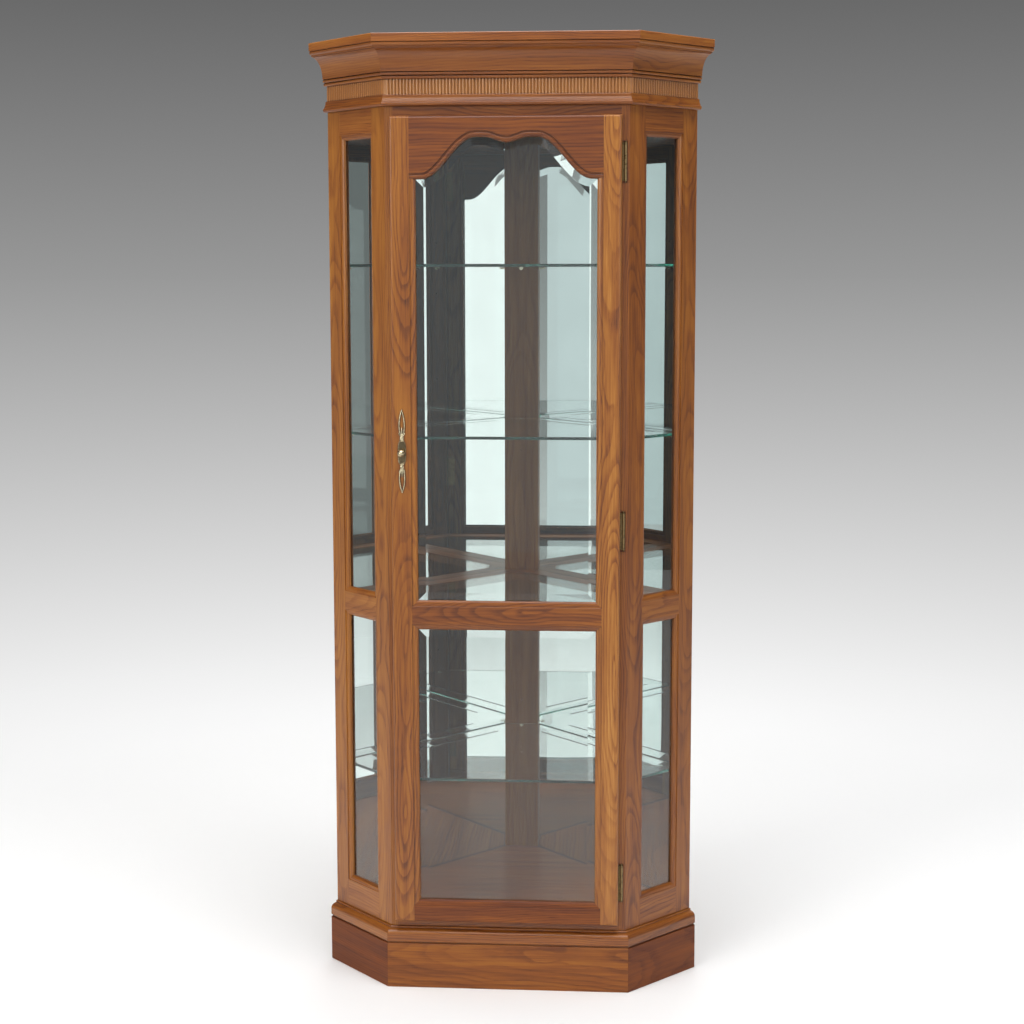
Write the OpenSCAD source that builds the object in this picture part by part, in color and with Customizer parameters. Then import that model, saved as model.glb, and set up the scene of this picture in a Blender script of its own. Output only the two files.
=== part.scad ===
// Corner display cabinet: a five-sided case with a bevel-glazed front door,
// two glazed angled sides and two mirrored backs that meet at a flat rear post.

/* [Case] */
// Overall height
case_h = 1930; // [1850:10:2000]
// Width of the front face of the case
front_w = 482; // [470:2:500]
// Width of each angled side frame
side_w = 192; // [184:1:200]
// Thickness of posts, rails and frames
frame_t = 20; // [19:0.5:21]
// Depth from the front face to the back of the rear post
case_d = 487; // [486:0.5:488]
// Width of the front face of each corner post
post_front_w = 16; // [15:0.5:17]
// Width of each flat stile in the side frames
side_stile_w = 42; // [40:1:44]

/* [Base] */
// Height of the base boards
base_h = 94; // [90:1:97]
// How far the base boards stand out from the case
base_p = 17; // [14:1:18]
// Height of the top of the base cap moulding
base_cap_top = 126; // [124:1:130]

/* [Crown] */
// How far the crown stands out from the case
crown_p = 45; // [40:1:50]
// Height of the bottom of the crown moulding
crown_z = 1846; // [1844:1:1848]
// Height of the bottom of the reeded frieze
frieze_z = 1816; // [1812:1:1820]
// Height of the bottom of the neck moulding
neck_z = 1793; // [1790:1:1795]
// Distance from one reed of the frieze to the next
reed_pitch = 6.5; // [6:0.25:8]

/* [Side frames] */
// Lower edge of the top side rails
side_top_z = 1745; // [1740:1:1750]
// Lower edge of the middle side rails
side_mid_z0 = 766; // [760:1:770]
// Upper edge of the middle side rails
side_mid_z1 = 807; // [803:1:812]
// Upper edge of the bottom side rails
side_bot_z = 183; // [178:1:188]
// Width of the moulded edge that holds the side glass
side_stick = 10; // [9:0.5:11]
// Thickness of the side glass
side_glass_t = 3; // [3:0.5:4]

/* [Door] */
// Latch edge of the door, measured left of centre
door_x0 = -231; // [-233:0.5:-230]
// Hinge edge of the door, measured right of centre
door_x1 = 226; // [224:0.5:227]
// Bottom of the door
door_z0 = 142; // [138:1:146]
// Top of the door
door_z1 = 1774; // [1770:1:1778]
// Thickness of the door frame
door_t = 19.2; // [18:0.1:19.6]
// Width of the moulded edge that holds the door glass
door_stick = 12; // [11:0.5:13]
// Thickness of the bevelled door glass
door_glass_t = 4; // [4:0.5:5]
// Rounding of the outer front edge of the door
door_round = 6; // [4:0.5:8]
// Lower edge of the flat of the middle door rail
door_mid_z0 = 764; // [758:1:768]
// Upper edge of the flat of the middle door rail
door_mid_z1 = 800; // [796:1:806]
// Upper edge of the flat of the bottom door rail
door_bot_z = 176.5; // [172:0.5:180]
// Lowest height of the arched edge, at its two ends
arch_low = 1650; // [1645:1:1655]
// Highest height of the arched edge, at its two humps
arch_high = 1732.5; // [1728:0.5:1735]

/* [Shelves] */
// Thickness of the glass shelves
shelf_t = 6; // [5:1:8]
// Underside of the upper glass shelf
shelf_z_upper = 1480; // [1478:1:1482]
// Underside of the middle glass shelf
shelf_z_middle = 1134.5; // [1132:0.5:1137]
// Underside of the lower glass shelf
shelf_z_lower = 427; // [425:0.5:429]
// Distance from one shelf pin hole to the next
hole_pitch = 64; // [60:1:64]
// Top of the fixed shelf at the middle rail
fixed_shelf_top = 792; // [788:1:796]

/* [Hinges] */
// Height of a hinge
hinge_h = 74; // [70:1:76]
// Radius of the hinge barrel
hinge_r = 3.2; // [3:0.1:3.4]
// Radius of the hinge pin
pin_r = 1.5; // [1.3:0.1:1.6]

/* [Hidden] */

e = 0.01;
c45 = cos(45);
t22 = tan(22.5);
half_f = front_w / 2;
// the model is centred on the middle of its footprint
shift_y = (case_d - crown_p) / 2;
opening_x = half_f - post_front_w;
opening_z0 = door_z0 + 10;
opening_z1 = door_z1 - 10;
frame_top = case_h - 8;
side_in0 = side_stile_w + 1;
side_in1 = side_w - side_stile_w + 1;
glass_q = 9;
mirror_t = 3;
panel_t = 3;
mirror_s = side_w - mirror_t - panel_t;
post_front_y = case_d - 0.6 - frame_t;
deck_top = 141;
deck_t = 19;
top_under = 1775;
top_t = 18;
door_y0 = -20.0;
door_y1 = door_y0 + door_t;
door_glass_e = 9;
latch_in = -191;
hinge_in = 190.5;
arch_mid = arch_high - 10.5;
rabbet_top = 1745;
hinge_x = 232.7;
hinge_y = -1.0;
hinge_zs = [door_z0 + 84.5, door_z0 + 812, door_z0 + 1542];
leaf_t = 1.6;
shelf_gap = 2.5;
shelf_front_y = 24;
shelf_zs = [shelf_z_upper, shelf_z_middle, shelf_z_lower];
peg_r = 2.5;
peg_out = 14;
handle_x = -209;
handle_z = 1112;

oak = [0.62, 0.36, 0.16];
oak_dark = [0.5, 0.28, 0.13];
oak_back = [0.36, 0.27, 0.22];
glass_c = [0.75, 0.88, 0.86, 0.35];
brass_c = [0.62, 0.5, 0.28];

// ---------- frames of reference ----------
// the whole cabinet, moved so that the origin is under its middle
module place() { translate([0, -shift_y, 0]) children(); }
// local frame of the right side: x runs back along the side, y runs inward, z up
module right_side() { place() translate([half_f, 0, 0]) rotate([0, 0, 45]) children(); }
module left_side() { mirror([1, 0, 0]) right_side() children(); }
module both_sides() { right_side() children(); left_side() children(); }
module box(lo, hi) { translate(lo) cube(hi - lo); }

// ---------- profile runs with mitred corners ----------
module front_run(pts) {
  intersection() {
    translate([-350, 0, 0]) rotate([90, 0, 90]) linear_extrude(700) polygon([for (v = pts) [-v[0], v[1]]]);
    linear_extrude(case_h + 10) polygon([[-half_f - 80 * t22, -80], [half_f + 80 * t22, -80], [half_f - 40 * t22, 40], [-half_f + 40 * t22, 40]]);
  }
}
module side_run(pts) {
  intersection() {
    translate([-100, 0, 0]) rotate([90, 0, 90]) linear_extrude(100 + side_w) polygon([for (v = pts) [-v[0], v[1]]]);
    linear_extrude(case_h + 10) polygon([[-80 * t22, -80], [400, -80], [400, 40], [40 * t22, 40]]);
  }
}
// points of an arc of an ellipse in a profile
function arc(cx, cz, rx, rz, a0, a1, n) = [for (i = [0:n]) let (a = a0 + (a1 - a0) * i / n) [cx + rx * cos(a), cz + rz * sin(a)]];

base_board_pts = [[0, 0], [base_p - 1, 0], [base_p, 1], [base_p, base_h - 1.5], [base_p - 1.5, base_h], [0, base_h]];
base_cap_pts = concat([[0, base_h], [base_p - 3.5, base_h], [base_p - 3.5, base_h + 2]],
  arc(base_p - 4.5, base_h + 6.5, 4.5, 4.5, -90, 0, 8),
  arc(base_p - 11.5, base_h + 17.5, 11.5, 10, 0, 80, 12),
  [[4.2, base_h + 28.2], [4.2, base_cap_top - 1], [3.2, base_cap_top], [0, base_cap_top]]);
neck_pts = concat([[0, neck_z + 0.8], [8, neck_z + 0.8]],
  arc(7.4, neck_z + 5.2, 4.2, 4.4, -75, 70, 10),
  arc(12.5, frieze_z - 3, 7.2, 9, 218, 180, 6),
  [[5.3, frieze_z - 1.5], [4.5, frieze_z], [0, frieze_z]]);
crown_pts = concat([[0, crown_z], [6, crown_z]],
  arc(6, crown_z + 3.4, 3.6, 3.4, -90, 75, 8),
  arc(8, crown_z + 10.2, 3.6, 3.4, -70, 75, 8),
  arc(38, crown_z + 14, 26, 42, 180, 96, 20),
  [[35.5, crown_z + 57.4], [39, crown_z + 57.4], [39, crown_z + 59.6]],
  arc(39.4, crown_z + 64.6, 4.2, 4.4, -80, 40, 8),
  [[crown_p, crown_z + 68], [crown_p, case_h - 1.2], [crown_p - 1.2, case_h], [0, case_h]]);

module base_board_front() { color(oak) place() front_run(base_board_pts); }
module base_board_sides() { color(oak) both_sides() side_run(base_board_pts); }
module base_cap_front() { color(oak) place() front_run(base_cap_pts); }
module base_cap_sides() { color(oak) both_sides() side_run(base_cap_pts); }
module neck_moulding_front() { color(oak) place() front_run(neck_pts); }
module neck_moulding_sides() { color(oak) both_sides() side_run(neck_pts); }
module crown_front() { color(oak) place() front_run(crown_pts); }
module crown_sides() { color(oak) both_sides() side_run(crown_pts); }

// reeded frieze: a flat strip with upright half-round reeds along its face
function reeds(x0, x1) = let (n = floor((x1 - x0) / reed_pitch), p0 = (x0 + x1) / 2 - n * reed_pitch / 2)
  [for (i = [0:n - 1], j = [0:4]) let (a = 180 - 36 * j - 18) [p0 + (i + 0.5) * reed_pitch + 2.75 * cos(a), 1.4 + 2.5 * sin(a)]];
module frieze_front() {
  color(oak_dark) place() translate([0, 0, frieze_z]) linear_extrude(crown_z - frieze_z)
    polygon(concat([[-half_f, 0]], [[-half_f - 1.4 * t22, -1.4]],
      [for (v = reeds(-half_f + 0.6, half_f - 0.6)) [v[0], -v[1]]], [[half_f + 1.4 * t22, -1.4]], [[half_f, 0]]));
}
module frieze_sides() {
  color(oak_dark) both_sides() translate([0, 0, frieze_z]) linear_extrude(crown_z - frieze_z)
    polygon(concat([[0, 0]], [[-1.4 * t22, -1.4]],
      [for (v = reeds(0.6, side_w - 0.6)) [v[0], -v[1]]], [[side_w, -1.4]], [[side_w, 0]]));
}

// ---------- moulded glazing edge ----------
// profile in (w, q): w runs from the flat of the frame into the opening, q is depth below the face
function stick_pts(w, q1) = concat([[-e, 1.6], [0.6, 1.6]],
  [for (i = [0:8]) let (a = 90 * i / 8) [0.8 + (w - 1.6) * sin(a), 6.6 - 4.6 * cos(a)]],
  [[w, 7.2], [w, q1], [-e, q1]]);

// ---------- posts and rails of the case ----------
// pin holes in the inside faces, one at each shelf and one pitch above and below it
module pin_holes_side(s) {
  for (z = shelf_zs, k = [-1, 0, 1]) translate([s, frame_t + 1, z - peg_r + k * hole_pitch]) rotate([90, 0, 0]) cylinder(r = peg_r, h = 11, $fn = 24);
}
peg_s0 = 30;
peg_s1 = 160;
module hinge_mortises() {
  for (z = hinge_zs) {
    box([opening_x - 1, -1, z - hinge_h / 2 - 4], [hinge_x + 4.3, 3, z + hinge_h / 2 + 4]);
    box([opening_x - 1, -1, z - hinge_h / 2], [opening_x + leaf_t, 19, z + hinge_h / 2]);
    for (k = [-1, 1]) translate([opening_x, 12.5, z + 25 * k]) screw(false);
  }
}
module corner_post(hinged) {
  difference() {
    union() {
      place() linear_extrude(frame_top) polygon([[opening_x, 0], [half_f, 0],
        [half_f + side_in0 * c45, side_in0 * c45],
        [half_f + (side_in0 - frame_t) * c45, (side_in0 + frame_t) * c45],
        [half_f - frame_t * t22, frame_t], [opening_x, frame_t]]);
      right_side() translate([0, 0, side_bot_z - 30]) linear_extrude(side_top_z - side_bot_z + 60)
        polygon([for (v = stick_pts(side_stick, glass_q)) [side_in0 + v[0], v[1]]]);
    }
    right_side() pin_holes_side(peg_s0);
    if (hinged) place() hinge_mortises();
    else place() translate([-1, 0, 0]) for (k = [-1, 1]) translate([opening_x + 1, 10, 1105 + 12 * k]) rotate([0, 90, 0]) cylinder(r = 1.5, h = 9, $fn = 24);
  }
}
module corner_post_right() { color(oak) corner_post(true); }
module corner_post_left() { color(oak) mirror([1, 0, 0]) corner_post(false); }
module rear_post() {
  difference() {
    union() {
      right_side() box([side_in1, 0, 0], [side_w, frame_t, frame_top]);
      right_side() translate([0, 0, side_bot_z - 30]) linear_extrude(side_top_z - side_bot_z + 60)
        polygon([for (v = stick_pts(side_stick, glass_q)) [side_in1 - v[0], v[1]]]);
    }
    right_side() box([mirror_s, 10, -1], [side_w + 1, frame_t + 1, frame_top + 1]);
    right_side() pin_holes_side(peg_s1);
  }
}
module rear_post_right() { color(oak) rear_post(); }
module rear_post_left() { color(oak) mirror([1, 0, 0]) rear_post(); }
module face_rail_top() { color(oak) place() box([-opening_x, 0, opening_z1], [opening_x, frame_t, frame_top]); }
module face_rail_bottom() { color(oak) place() box([-opening_x, 0, 60], [opening_x, frame_t, opening_z0]); }

module stile_sticks_local() {
  translate([0, 0, side_bot_z - 30]) linear_extrude(side_top_z - side_bot_z + 60) {
    polygon([for (v = stick_pts(side_stick, glass_q)) [side_in0 + v[0], v[1]]]);
    polygon([for (v = stick_pts(side_stick, glass_q)) [side_in1 - v[0], v[1]]]);
  }
}
// rail of a side frame with a moulded edge below (lo) or above (hi)
module side_rail(z0, z1, lo, hi) {
  difference() {
    union() {
      box([side_in0, 0, z0], [side_in1, frame_t, z1]);
      if (hi) translate([side_in0, 0, z1]) rotate([90, 0, 90]) linear_extrude(side_in1 - side_in0)
        polygon([for (v = stick_pts(side_stick, glass_q)) [v[1], v[0]]]);
      if (lo) translate([side_in0, 0, z0]) rotate([90, 0, 90]) linear_extrude(side_in1 - side_in0)
        polygon([for (v = stick_pts(side_stick, glass_q)) [v[1], -v[0]]]);
    }
    stile_sticks_local();
  }
}
module side_rail_top_right() { color(oak) right_side() side_rail(side_top_z, frame_top, true, false); }
module side_rail_top_left() { color(oak) left_side() side_rail(side_top_z, frame_top, true, false); }
module side_rail_mid_right() { color(oak) right_side() side_rail(side_mid_z0, side_mid_z1, true, true); }
module side_rail_mid_left() { color(oak) left_side() side_rail(side_mid_z0, side_mid_z1, true, true); }
module side_rail_bottom_right() { color(oak) right_side() side_rail(60, side_bot_z, false, true); }
module side_rail_bottom_left() { color(oak) left_side() side_rail(60, side_bot_z, false, true); }

// ---------- side glass and its stops ----------
module side_pane(z0, z1) { box([side_in0 + 1, glass_q, z0 + 1], [side_in1 - 1, glass_q + side_glass_t, z1 - 1]); }
module side_glass_upper_right() { color(glass_c) right_side() side_pane(side_mid_z1, side_top_z); }
module side_glass_upper_left() { color(glass_c) left_side() side_pane(side_mid_z1, side_top_z); }
module side_glass_lower_right() { color(glass_c) right_side() side_pane(side_bot_z, side_mid_z0); }
module side_glass_lower_left() { color(glass_c) left_side() side_pane(side_bot_z, side_mid_z0); }
// square stops pinned behind each pane
module stops_local(z0, z1) {
  q0 = glass_q + side_glass_t;
  q1 = q0 + 6;
  box([side_in0, q0, z0], [side_in0 + 8, q1, z1]);
  box([side_in1 - 8, q0, z0], [side_in1, q1, z1]);
  box([side_in0 + 8.2, q0, z0], [side_in1 - 8.2, q1, z0 + 8]);
  box([side_in0 + 8.2, q0, z1 - 8], [side_in1 - 8.2, q1, z1]);
}
module side_glass_stops() {
  color(oak_dark) both_sides() { stops_local(side_mid_z1, side_top_z); stops_local(side_bot_z, side_mid_z0); }
}

// ---------- inside ----------
// corners of the inside outline, moved inward by d: front corner, side corner, post corner
function in1(d) = [half_f - (frame_t + d) * t22, frame_t + d];
function in2(d, s) = [half_f + (s - d - frame_t - d) * c45, (s + frame_t) * c45];
function in3(d, s) = [half_f + 2 * (s - d) * c45 - (post_front_y - d), post_front_y - d];
function flip(v) = [-v[0], v[1]];
function outline(d, s, y0) = let (a = [in1(d)[0] - (y0 - in1(d)[1]) * (y0 < in1(d)[1] ? t22 : -1), y0], b = in2(d, s), g = in3(d, s))
  [flip(a), a, b, g, flip(g), flip(b)];
module deck_panel() {
  color(oak) place() translate([0, 0, deck_top - deck_t]) linear_extrude(deck_t) polygon(outline(0, side_w - panel_t, frame_t));
}
module top_panel() {
  color(oak) place() translate([0, 0, top_under]) linear_extrude(top_t) polygon(outline(0, side_w - panel_t, frame_t));
}
module cleats(z0) {
  place() box([-190, frame_t, z0], [190, frame_t + 19, z0 + 19]);
  both_sides() box([42, frame_t, z0], [150, frame_t + 19, z0 + 19]);
}
module deck_cleats() { color(oak_dark) cleats(deck_top - deck_t - 19); }
module top_cleats() { color(oak_dark) cleats(top_under + top_t); }
module back_post() {
  color(oak_back) difference() {
    place() linear_extrude(frame_top) polygon(let (s0 = half_f + 2 * mirror_s * c45, s1 = half_f + 2 * (side_w - panel_t) * c45,
      m = [s0 - post_front_y, post_front_y], k = [m[0] + mirror_t * c45, m[1] + mirror_t * c45], r = [s1 - case_d, case_d])
      [flip(m), m, k, r, flip(r), flip(k)]);
    place() for (z = shelf_zs, k = [-1, 0, 1]) translate([0, post_front_y - 1, z - peg_r + k * hole_pitch]) rotate([-90, 0, 0]) cylinder(r = peg_r, h = 11, $fn = 24);
  }
}
mirror_q1 = post_front_y / c45 - mirror_s;
module mirror_pane() { box([mirror_s, 10.3, deck_top], [mirror_s + mirror_t, mirror_q1, top_under]); }
module mirror_right() { color([0.8, 0.85, 0.88]) right_side() mirror_pane(); }
module mirror_left() { color([0.8, 0.85, 0.88]) left_side() mirror_pane(); }
module back_panel() { box([side_w - panel_t, 10.3, 1], [side_w, case_d / c45 - side_w, frame_top]); }
module back_panel_right() { color([0.45, 0.32, 0.2]) right_side() back_panel(); }
module back_panel_left() { color([0.45, 0.32, 0.2]) left_side() back_panel(); }

// fixed shelf: a mitred wooden frame with a pane of glass let into it
fs_w = 46;
fs_t = 20;
fs_z = fixed_shelf_top - fs_t;
fs_d = 0.3;
module fs_blank() {
  difference() {
    children();
    place() translate([0, 0, fixed_shelf_top - 5]) linear_extrude(6) polygon(outline(fs_d + fs_w - 8, mirror_s, frame_t + fs_w - 8 + fs_d));
  }
}
module fixed_shelf_front_rail() {
  color(oak) fs_blank() place() translate([0, 0, fs_z]) linear_extrude(fs_t)
    polygon([flip(in1(fs_d)), in1(fs_d), in1(fs_d + fs_w), flip(in1(fs_d + fs_w))]);
}
module fixed_shelf_side_rails() {
  color(oak) fs_blank() for (m = [0, 1]) mirror([m, 0, 0]) place() translate([0, 0, fs_z]) linear_extrude(fs_t)
    polygon([in1(fs_d), in2(fs_d, mirror_s), in2(fs_d + fs_w, mirror_s), in1(fs_d + fs_w)]);
}
module fixed_shelf_back_rails() {
  color(oak) fs_blank() for (m = [0, 1]) mirror([m, 0, 0]) place() translate([0, 0, fs_z]) linear_extrude(fs_t)
    polygon([in2(fs_d, mirror_s), in3(fs_d, mirror_s), [m * 0 + e, post_front_y - fs_d], [e, in3(fs_d + fs_w, mirror_s)[1] + 0], in3(fs_d + fs_w, mirror_s), in2(fs_d + fs_w, mirror_s)]);
}
module fixed_shelf_glass() {
  color(glass_c) place() translate([0, 0, fixed_shelf_top - 5]) linear_extrude(5) polygon(outline(fs_d + fs_w - 7.5, mirror_s, frame_t + fs_w - 7.5 + fs_d));
}

// loose glass shelf with a plate groove along its two rear edges
module glass_shelf(z) {
  difference() {
    place() translate([0, 0, z]) linear_extrude(shelf_t) polygon(outline(shelf_gap, mirror_s, shelf_front_y));
    both_sides() box([mirror_s - shelf_gap - 42, 70, z + shelf_t - 1.2], [mirror_s - shelf_gap - 39, mirror_q1 - 60, z + shelf_t + 1]);
  }
}
module glass_shelf_upper() { color(glass_c) glass_shelf(shelf_z_upper); }
module glass_shelf_middle() { color(glass_c) glass_shelf(shelf_z_middle); }
module glass_shelf_lower() { color(glass_c) glass_shelf(shelf_z_lower); }
// a shelf pin: a shank in the hole, a collar against the wood and a short peg
module peg() {
  rotate_extrude($fn = 24) polygon([[0, -10], [peg_r, -10], [peg_r, 0], [peg_r + 1.5, 0], [peg_r + 1.5, 2], [peg_r - 0.3, 2], [peg_r - 0.3, peg_out - 1], [peg_r - 1.3, peg_out], [0, peg_out]]);
}
module shelf_pins() {
  color([0.8, 0.74, 0.6]) for (z = shelf_zs) {
    place() translate([0, post_front_y, z - peg_r]) rotate([90, 0, 0]) peg();
    both_sides() for (s = [peg_s0, peg_s1]) translate([s, frame_t, z - peg_r]) rotate([-90, 0, 0]) peg();
  }
}

// ---------- hinges ----------
// flat-head screw lying along x, its head flush at x = leaf_t behind the surface
module screw(up) {
  translate([0, 0, 0]) rotate([0, 90, 0]) rotate_extrude($fn = 24)
    polygon([[0, 0.2], [3.2, 0.2], [1.6, 1.8], [1.6, 13], [0, 14.5]]);
}
module at_hinges() { place() for (z = hinge_zs) translate([0, 0, z]) children(); }
module hinge_frame_leaves() {
  color(brass_c) at_hinges() difference() {
    union() {
      for (k = [-1, 1]) translate([hinge_x, hinge_y, k > 0 ? hinge_h / 6 + 0.15 : -hinge_h / 2]) cylinder(r = hinge_r, h = hinge_h / 3 - 0.15, $fn = 48);
      difference() {
        union() {
          box([opening_x, 1.4, -hinge_h / 2], [hinge_x, 3.0, hinge_h / 2]);
          box([opening_x, 1.4, -hinge_h / 2], [opening_x + leaf_t, 19, hinge_h / 2]);
        }
        translate([hinge_x, hinge_y, -hinge_h / 6 - 0.15]) cylinder(r = hinge_r + 0.4, h = hinge_h / 3 + 0.3, $fn = 48);
      }
    }
    translate([hinge_x, hinge_y, -hinge_h]) cylinder(r = pin_r, h = 2 * hinge_h, $fn = 48);
    for (k = [-1, 1]) translate([opening_x, 12.5, 25 * k]) screw(true);
  }
}
module hinge_pins() {
  color(brass_c) at_hinges() translate([hinge_x, hinge_y, 0]) rotate_extrude($fn = 48)
    polygon(concat([[0, -hinge_h / 2 - 3.2]], [for (i = [0:5]) let (a = -80 + 28 * i) [2.2 * cos(a), -hinge_h / 2 - 1.6 + 1.6 * sin(a)]],
      [[pin_r, -hinge_h / 2], [pin_r, hinge_h / 2]],
      [for (i = [0:5]) let (a = -60 + 28 * i) [2.2 * cos(a), hinge_h / 2 + 1.6 + 1.6 * sin(a)]], [[0, hinge_h / 2 + 3.2]]));
}
module hinge_frame_screws() {
  color(brass_c) place() for (z = hinge_zs, k = [-1, 1]) translate([opening_x, 12.5, z + 25 * k]) screw(true);
}
module door_leaf_plate() {
  box([hinge_x - 26, door_y1 - leaf_t, -hinge_h / 2], [hinge_x, door_y1, hinge_h / 2]);
}
module hinge_door_leaves() {
  color(brass_c) at_hinges() difference() {
    union() {
      translate([hinge_x, hinge_y, -hinge_h / 6 + 0.15]) cylinder(r = hinge_r, h = hinge_h / 3 - 0.3, $fn = 48);
      difference() {
        door_leaf_plate();
        for (k = [-1, 1]) translate([hinge_x, hinge_y, k > 0 ? hinge_h / 6 - 0.15 : -hinge_h / 2 - 1]) cylinder(r = hinge_r + 0.4, h = hinge_h / 3 + 1.15, $fn = 48);
      }
    }
    translate([hinge_x, hinge_y, -hinge_h]) cylinder(r = pin_r + 0.06, h = 2 * hinge_h, $fn = 48);
  }
}
module magnetic_catch() {
  color([0.3, 0.22, 0.16]) place() {
    difference() {
      box([-opening_x, 1.6, 1083], [-opening_x + 13, 18.5, 1127]);
      box([-opening_x + 3, 1, 1095], [-opening_x + 10, 4, 1115]);
    }
    for (k = [-1, 1]) translate([-opening_x, 10, 1105 + 12 * k]) rotate([0, -90, 0]) cylinder(r = 1.5, h = 8, $fn = 24);
  }
}

// ---------- door ----------
function round_rect(a0, a1) = concat([[a0, door_y1]], [for (i = [0:8]) let (a = 180 + 90 * i / 8) [a0 + door_round + door_round * cos(a), door_y0 + door_round + door_round * sin(a)]],
  [for (i = [0:8]) let (a = 270 + 90 * i / 8) [a1 - door_round + door_round * cos(a), door_y0 + door_round + door_round * sin(a)]], [[a1, door_y1]]);
module door_blank(lo, hi) {
  intersection() {
    translate([0, 0, door_z0 - 1]) linear_extrude(door_z1 - door_z0 + 2) polygon(round_rect(door_x0, door_x1));
    translate([door_x0 - 1, 0, 0]) rotate([90, 0, 90]) linear_extrude(door_x1 - door_x0 + 2) polygon([for (v = round_rect(door_z0, door_z1)) [v[1], v[0]]]);
    box(lo, hi);
  }
}
module latch_stick() { translate([0, 0, door_z0 + 6]) linear_extrude(rabbet_top - door_z0 - 6) polygon([for (v = stick_pts(door_stick, door_glass_e)) [latch_in + v[0], door_y0 + v[1]]]); }
module hinge_stick() { translate([0, 0, door_z0 + 6]) linear_extrude(rabbet_top - door_z0 - 6) polygon([for (v = stick_pts(door_stick, door_glass_e)) [hinge_in - v[0], door_y0 + v[1]]]); }
module door_stile_latch() {
  color(oak) place() difference() {
    union() { door_blank([door_x0 - 1, door_y0 - 1, door_z0 - 1], [latch_in, door_y1, door_z1 + 1]); latch_stick(); }
    translate([handle_x, door_y0 - 1, handle_z]) rotate([-90, 0, 0]) cylinder(r = 2.2, h = door_t + 2, $fn = 32);
    translate([handle_x, door_y1 - 4, handle_z]) rotate([-90, 0, 0]) cylinder(r = 4.4, h = 5, $fn = 32);
    translate([-opening_x + 6.5, door_y1 - 1, 1105]) rotate([-90, 0, 0]) cylinder(r = 6, h = 2, $fn = 32);
  }
}
module door_stile_hinge() {
  color(oak) place() difference() {
    union() { door_blank([hinge_in, door_y0 - 1, door_z0 - 1], [door_x1 + 1, door_y1, door_z1 + 1]); hinge_stick(); }
    for (z = hinge_zs) {
      translate([0, 0, z]) door_leaf_plate();
      translate([hinge_x, hinge_y, z - hinge_h / 2]) cylinder(r = hinge_r + 0.4, h = hinge_h, $fn = 48);
    }
  }
}
// the arched edge: a centre dip between two humps, then a fall to the ends
function arch(x) = let (a = abs(x)) a < 45 ? arch_mid + (arch_high - arch_mid) * (1 - cos(180 * a / 45)) / 2
  : a < 60 ? arch_high : a < 168 ? arch_low + 1 + (arch_high - arch_low - 1) * (1 + cos(180 * (a - 60) / 108)) / 2
  : arch_low + 1 * max(0, (190 - a) / 22);
module arch_layer(e0, e1, up) {
  translate([0, door_y0 + e1, 0]) rotate([90, 0, 0]) linear_extrude(e1 - e0)
    polygon(concat([[hinge_in, door_z1 + 5], [latch_in, door_z1 + 5]], [for (i = [0:96]) let (x = latch_in + (hinge_in - latch_in) * i / 96) [x, arch(x) + up]]));
}
module door_rail_top() {
  color(oak) place() difference() {
    intersection() {
      door_blank([latch_in, door_y0 - 1, arch_low - 20], [hinge_in, door_y1, door_z1 + 1]);
      union() {
        arch_layer(0, 1.6, 11);
        arch_layer(1.6, 2.8, 9.4);
        arch_layer(2.8, 4.4, 6);
        arch_layer(4.4, 6.6, 2.2);
        arch_layer(6.6, door_glass_e, 0);
        box([latch_in, door_y0 + door_glass_e, rabbet_top], [hinge_in, door_y1, door_z1 + 1]);
      }
    }
    latch_stick();
    hinge_stick();
  }
}
module door_rail(z0, z1, lo, hi) {
  difference() {
    union() {
      door_blank([latch_in, door_y0 - 1, z0], [hinge_in, door_y1, z1]);
      if (hi) translate([latch_in, door_y0, z1]) rotate([90, 0, 90]) linear_extrude(hinge_in - latch_in) polygon([for (v = stick_pts(door_stick, door_glass_e)) [v[1], v[0]]]);
      if (lo) translate([latch_in, door_y0, z0]) rotate([90, 0, 90]) linear_extrude(hinge_in - latch_in) polygon([for (v = stick_pts(door_stick, door_glass_e)) [v[1], -v[0]]]);
    }
    latch_stick();
    hinge_stick();
  }
}
module door_rail_mid() { color(oak) place() door_rail(door_mid_z0, door_mid_z1, true, true); }
module door_rail_bottom() { color(oak) place() door_rail(door_z0, door_bot_z, false, true); }
module door_pane(z0, z1) { place() box([latch_in + 1, door_y0 + door_glass_e, z0 + 1], [hinge_in - 1, door_y0 + door_glass_e + door_glass_t, z1 - 1]); }
module door_glass_upper() { color(glass_c) door_pane(door_mid_z1, rabbet_top); }
module door_glass_lower() { color(glass_c) door_pane(door_bot_z, door_mid_z0); }
module door_stops_of(z0, z1) {
  y0 = door_y0 + door_glass_e + door_glass_t;
  y1 = y0 + 5.4;
  box([latch_in, y0, z0], [latch_in + 8, y1, z1]);
  box([hinge_in - 8, y0, z0], [hinge_in, y1, z1]);
  box([latch_in + 8.2, y0, z0], [hinge_in - 8.2, y1, z0 + 8]);
  box([latch_in + 8.2, y0, z1 - 8], [hinge_in - 8.2, y1, z1]);
}
module door_glass_stops() { color(oak_dark) place() { door_stops_of(door_mid_z1, rabbet_top); door_stops_of(door_bot_z, door_mid_z0); } }
module catch_strike() {
  color([0.6, 0.6, 0.6]) place() translate([-opening_x + 6.5, door_y1 - 1, 1105]) rotate([-90, 0, 0]) cylinder(r = 6, h = 1.6, $fn = 32);
}
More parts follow.
